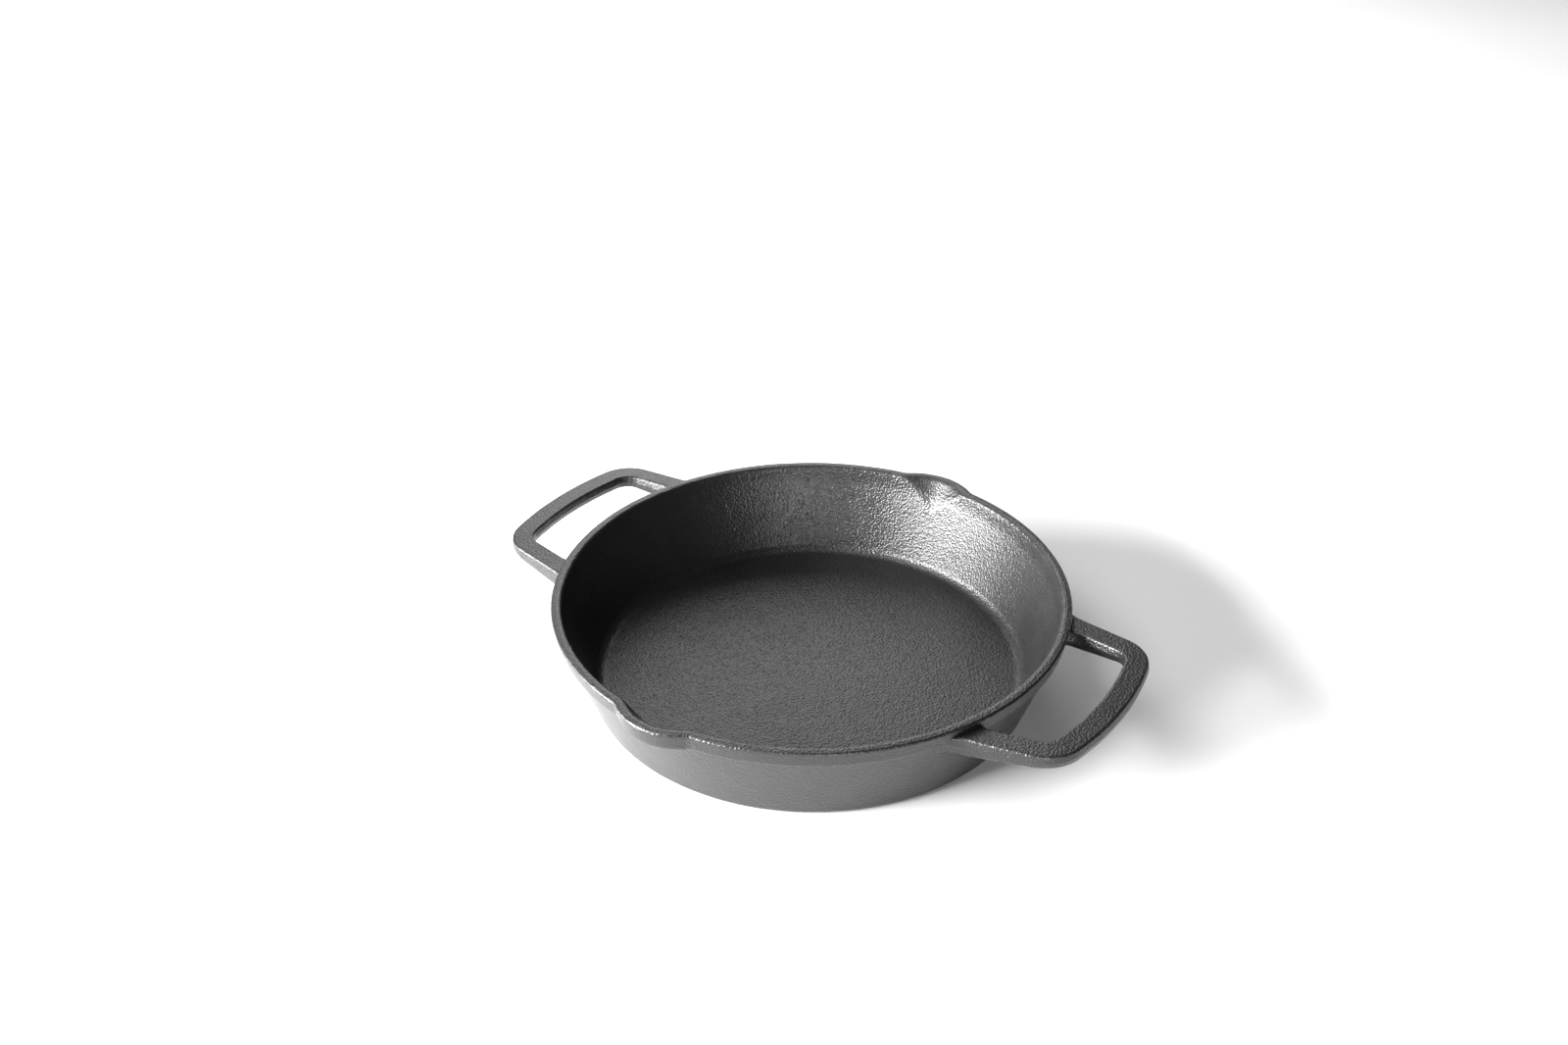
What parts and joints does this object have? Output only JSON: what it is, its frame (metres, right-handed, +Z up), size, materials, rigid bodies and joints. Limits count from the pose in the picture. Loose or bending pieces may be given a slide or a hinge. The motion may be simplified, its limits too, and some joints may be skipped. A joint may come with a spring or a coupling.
{
  "type": "cast iron skillet",
  "caption": "Round cast iron skillet with leaning walls, a thicker rim band, pouring spouts on either side and a flat looped handle at each end.",
  "frame": {"origin": "centre of the flat base, on the surface the pan stands on", "axes": "+Z up, +X through the middle of the right handle, -Y through the front pouring spout"},
  "size_m": [0.3406, 0.2714, 0.0508],
  "materials": {
    "seasoned_iron": "oil-seasoned, satin, fine sand-cast grain"
  },
  "bodies": {
    "root": {"cooking_floor": "seasoned_iron", "side_wall": "seasoned_iron", "left_rim_band": "seasoned_iron", "right_rim_band": "seasoned_iron", "front_pouring_spout": "seasoned_iron", "rear_pouring_spout": "seasoned_iron", "left_handle_grip": "seasoned_iron", "left_handle_front_arm": "seasoned_iron", "left_handle_rear_arm": "seasoned_iron", "right_handle_grip": "seasoned_iron", "right_handle_front_arm": "seasoned_iron", "right_handle_rear_arm": "seasoned_iron"}
  },
  "joints": []
}
